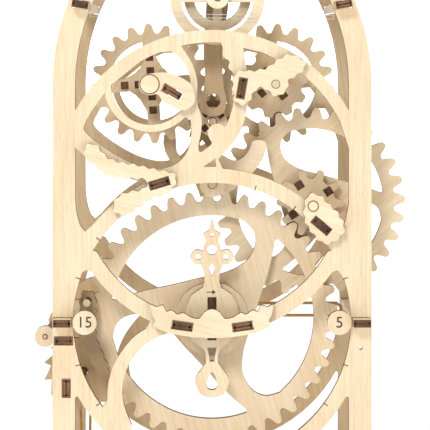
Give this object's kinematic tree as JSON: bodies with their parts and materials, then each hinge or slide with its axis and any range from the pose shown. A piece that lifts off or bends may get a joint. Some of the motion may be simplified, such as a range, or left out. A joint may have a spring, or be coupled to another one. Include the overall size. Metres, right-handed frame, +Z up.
{
  "type": "mechanical plywood timer model",
  "caption": "Laser-cut plywood timer tower kit with skeleton plates, meshing gear train, pointer hand, balance rings and ratchet winder.",
  "frame": {"origin": "centre of the model's footprint at the ground", "axes": "+Z up the tower, the dial and hand face -Y"},
  "size_m": [0.1498, 0.0724, 0.2595],
  "materials": {
    "birch_ply": "bare laser-cut birch plywood, burnt brown edges",
    "thread": "matte grey thread",
    "rubber_band": "translucent amber rubber"
  },
  "bodies": {
    "frame": {"back_plate": "birch_ply", "base_stay_left": "birch_ply", "base_stay_right": "birch_ply", "dial_pad_15": "birch_ply", "dial_pad_5": "birch_ply", "drive_band": "rubber_band", "front_plate": "birch_ply", "hub_bridge": "birch_ply", "left_bearing_arm": "birch_ply", "left_ornament": "birch_ply", "lock_key_brace": "birch_ply", "lock_key_hub_left": "birch_ply", "lock_key_hub_right": "birch_ply", "lock_key_left_arm": "birch_ply", "lock_key_ornament": "birch_ply", "lock_key_post": "birch_ply", "lock_key_right_arm": "birch_ply", "lock_key_side_arm": "birch_ply", "right_bearing_arm": "birch_ply", "side_bearing_arm": "birch_ply", "side_stay_left": "birch_ply", "side_stay_right": "birch_ply", "tension_thread": "thread", "top_stay_left": "birch_ply", "top_stay_right": "birch_ply", "winder_band": "rubber_band", "winder_carrier": "birch_ply"},
    "main_group": {"main_wheel": "birch_ply", "hand": "birch_ply", "drum_front": "birch_ply", "drum_core": "birch_ply", "main_arbor": "birch_ply"},
    "second_group": {"second_wheel": "birch_ply", "second_pinion": "birch_ply", "second_arbor": "birch_ply"},
    "third_group": {"third_wheel": "birch_ply", "third_pinion": "birch_ply", "third_arbor": "birch_ply"},
    "escape_group": {"escape_pinion": "birch_ply", "escape_wheel": "birch_ply", "escape_disc": "birch_ply", "escape_arbor": "birch_ply"},
    "fourth_group": {"fourth_wheel": "birch_ply", "fourth_hub": "birch_ply", "fourth_arbor": "birch_ply"},
    "balance_group": {"balance_ring_front": "birch_ply", "balance_ring_back": "birch_ply", "balance_cap": "birch_ply", "balance_lever": "birch_ply", "balance_arbor": "birch_ply"},
    "anchor_group": {"anchor": "birch_ply", "anchor_fork": "birch_ply", "anchor_washer": "birch_ply", "anchor_arbor": "birch_ply"},
    "ratchet_group": {"ratchet_wheel": "birch_ply", "ratchet_arbor": "birch_ply"},
    "pawl_group": {"pawl": "birch_ply", "pawl_pin": "birch_ply"},
    "knob_group": {"knob": "birch_ply", "knob_arbor": "birch_ply"}
  },
  "joints": [
    {"name": "main_spin", "type": "hinge", "parent": "frame", "child": "main_group", "pos_m": [-0.00368, 0, 0.08], "axis": [0, 1, 0], "continuous": true},
    {"name": "second_spin", "type": "hinge", "parent": "frame", "child": "second_group", "pos_m": [0.03632, 0, 0.1262], "axis": [0, 1, 0], "continuous": true},
    {"name": "third_spin", "type": "hinge", "parent": "frame", "child": "third_group", "pos_m": [0.02152, 0, 0.1744], "axis": [0, 1, 0], "continuous": true},
    {"name": "fourth_spin", "type": "hinge", "parent": "frame", "child": "fourth_group", "pos_m": [-0.02838, 0, 0.1744], "axis": [0, 1, 0], "continuous": true},
    {"name": "escape_spin", "type": "hinge", "parent": "frame", "child": "escape_group", "pos_m": [-0.00343, 0, 0.159], "axis": [0, 1, 0], "continuous": true},
    {"name": "anchor_swing", "type": "hinge", "parent": "frame", "child": "anchor_group", "pos_m": [-0.00348, 0, 0.134], "axis": [0, 1, 0], "range_deg": [-6, 6]},
    {"name": "balance_swing", "type": "hinge", "parent": "frame", "child": "balance_group", "pos_m": [-0.00148, 0, 0.209], "axis": [0, 1, 0], "range_deg": [-8, 8]},
    {"name": "ratchet_spin", "type": "hinge", "parent": "frame", "child": "ratchet_group", "pos_m": [-0.05618, 0, 0.0565], "axis": [0, 1, 0], "continuous": true},
    {"name": "knob_spin", "type": "hinge", "parent": "frame", "child": "knob_group", "pos_m": [-0.07068, 0, 0.073], "axis": [0, 1, 0], "continuous": true},
    {"name": "pawl_swing", "type": "hinge", "parent": "frame", "child": "pawl_group", "pos_m": [-0.05368, 0, 0.087], "axis": [0, 1, 0], "range_deg": [-3, 3]}
  ],
  "couplings": [
    {"joint": "main_spin", "follows": "third_spin", "ratio": 0.081301},
    {"joint": "second_spin", "follows": "third_spin", "ratio": -0.33333},
    {"joint": "escape_spin", "follows": "third_spin", "ratio": -3.3333},
    {"joint": "fourth_spin", "follows": "third_spin", "ratio": 1}
  ]
}
